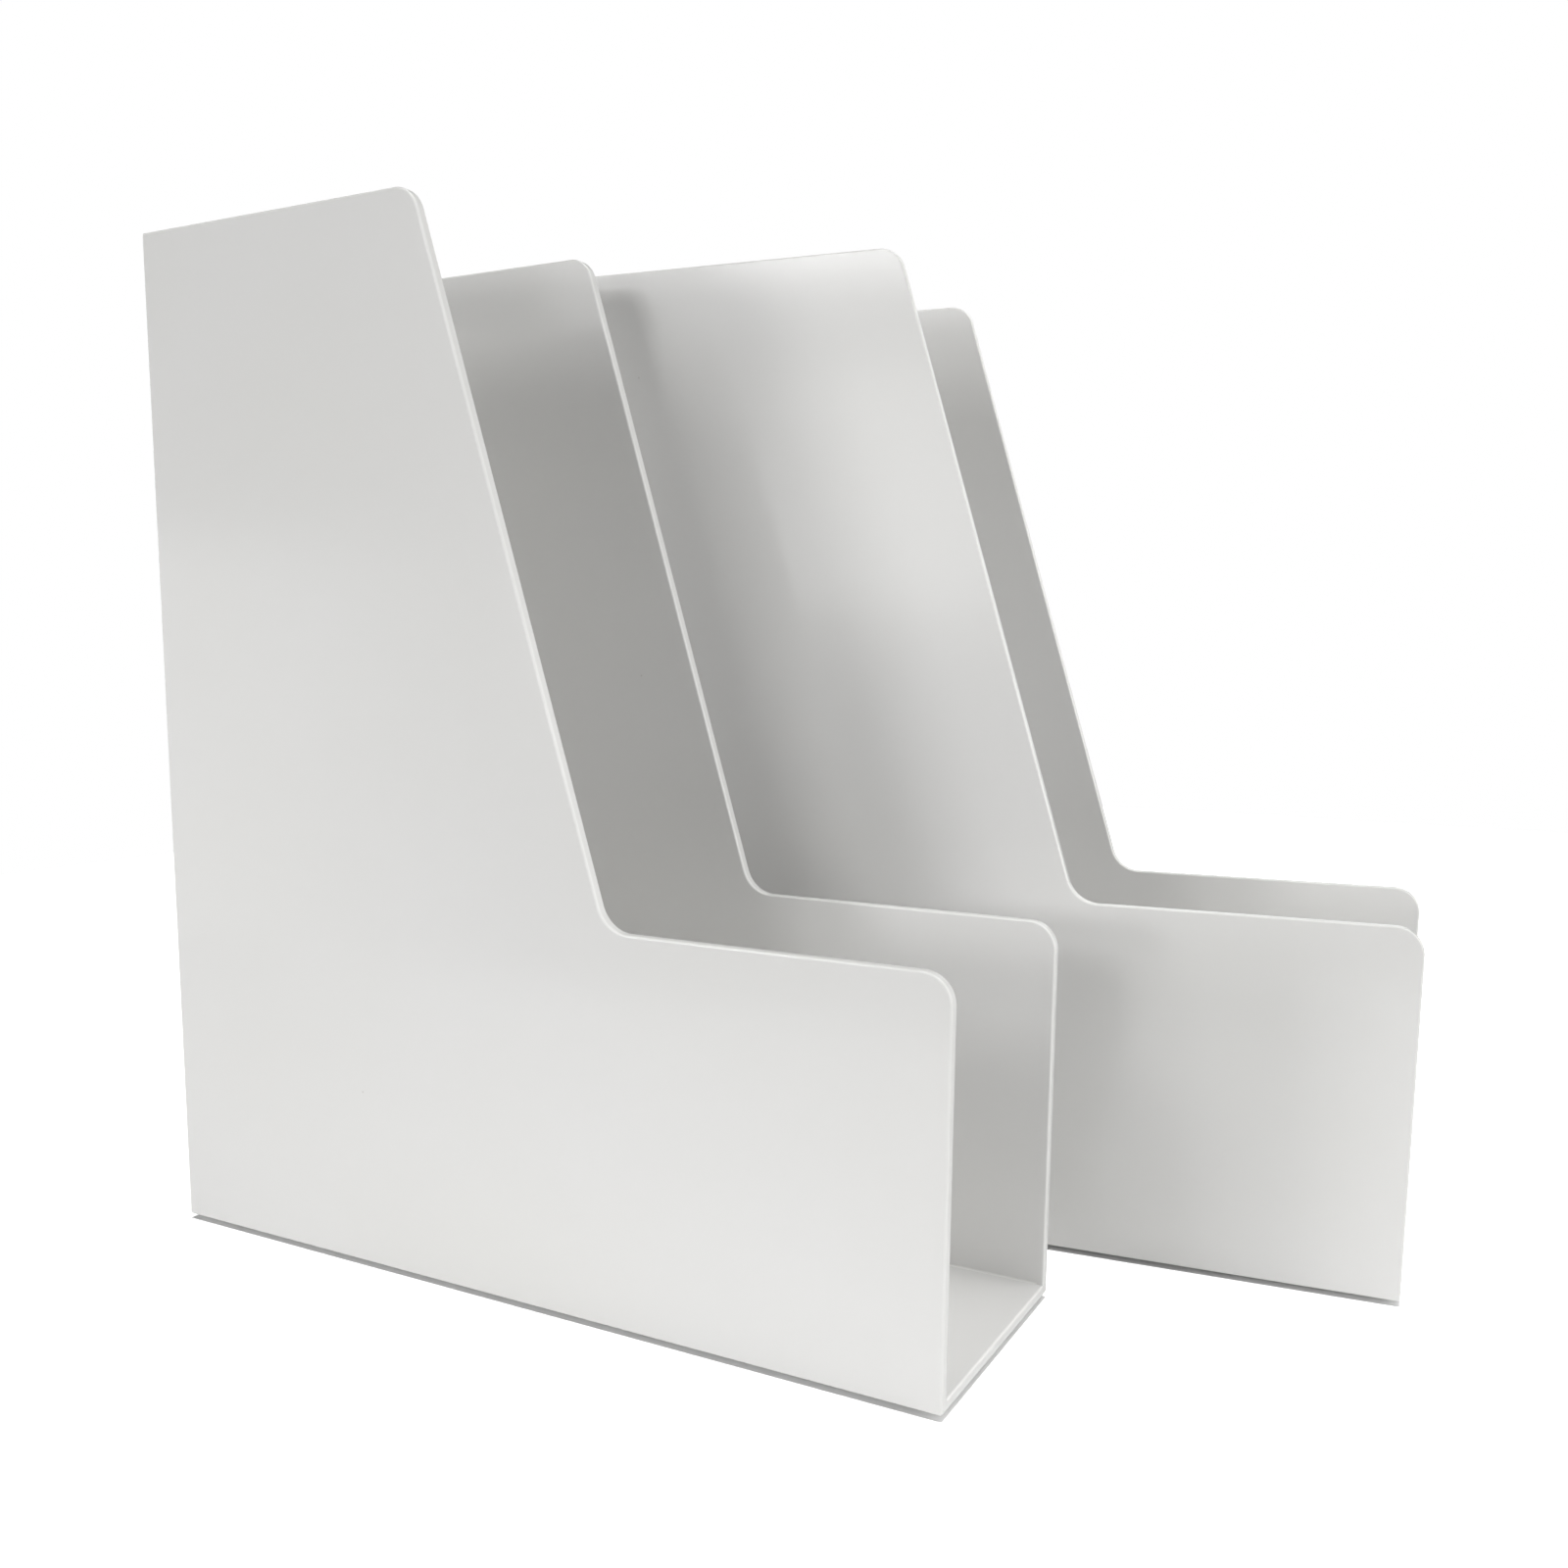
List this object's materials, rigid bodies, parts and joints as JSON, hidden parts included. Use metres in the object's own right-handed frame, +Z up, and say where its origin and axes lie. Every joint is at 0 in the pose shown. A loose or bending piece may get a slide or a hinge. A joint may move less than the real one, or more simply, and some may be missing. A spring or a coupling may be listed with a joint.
{
  "type": "magazine file holder pair",
  "caption": "Matching upright magazine file holders of bonded white acrylic sheet, each open at the top and front, with stepped sides that slope down to a low front and small rubber feet.",
  "frame": {"origin": "on the desk plane, at the middle of the pair's bounding box", "axes": "+X to the holders' right, +Y to their closed backs, so that -Y is the open front of the first holder, +Z up"},
  "size_m": [0.1975, 0.3504, 0.3008],
  "materials": {
    "white_acrylic": "opaque white acrylic sheet, semi-gloss faces, rounded and polished edges",
    "foot_rubber": "matt grey stick-on rubber"
  },
  "bodies": {
    "first_holder": {"first_left_panel": "white_acrylic", "first_right_panel": "white_acrylic", "first_base_panel": "white_acrylic", "first_back_panel": "white_acrylic", "first_front_left_foot": "foot_rubber", "first_front_right_foot": "foot_rubber", "first_back_left_foot": "foot_rubber", "first_back_right_foot": "foot_rubber"},
    "second_holder": {"second_left_panel": "white_acrylic", "second_right_panel": "white_acrylic", "second_base_panel": "white_acrylic", "second_back_panel": "white_acrylic", "second_front_left_foot": "foot_rubber", "second_front_right_foot": "foot_rubber", "second_back_left_foot": "foot_rubber", "second_back_right_foot": "foot_rubber"}
  },
  "joints": [
    {"name": "second_holder_slide", "type": "slide", "parent": "first_holder", "child": "second_holder", "axis": [0.1005, -0.9949, 0], "range_m": [-0.09, 0.17]}
  ]
}
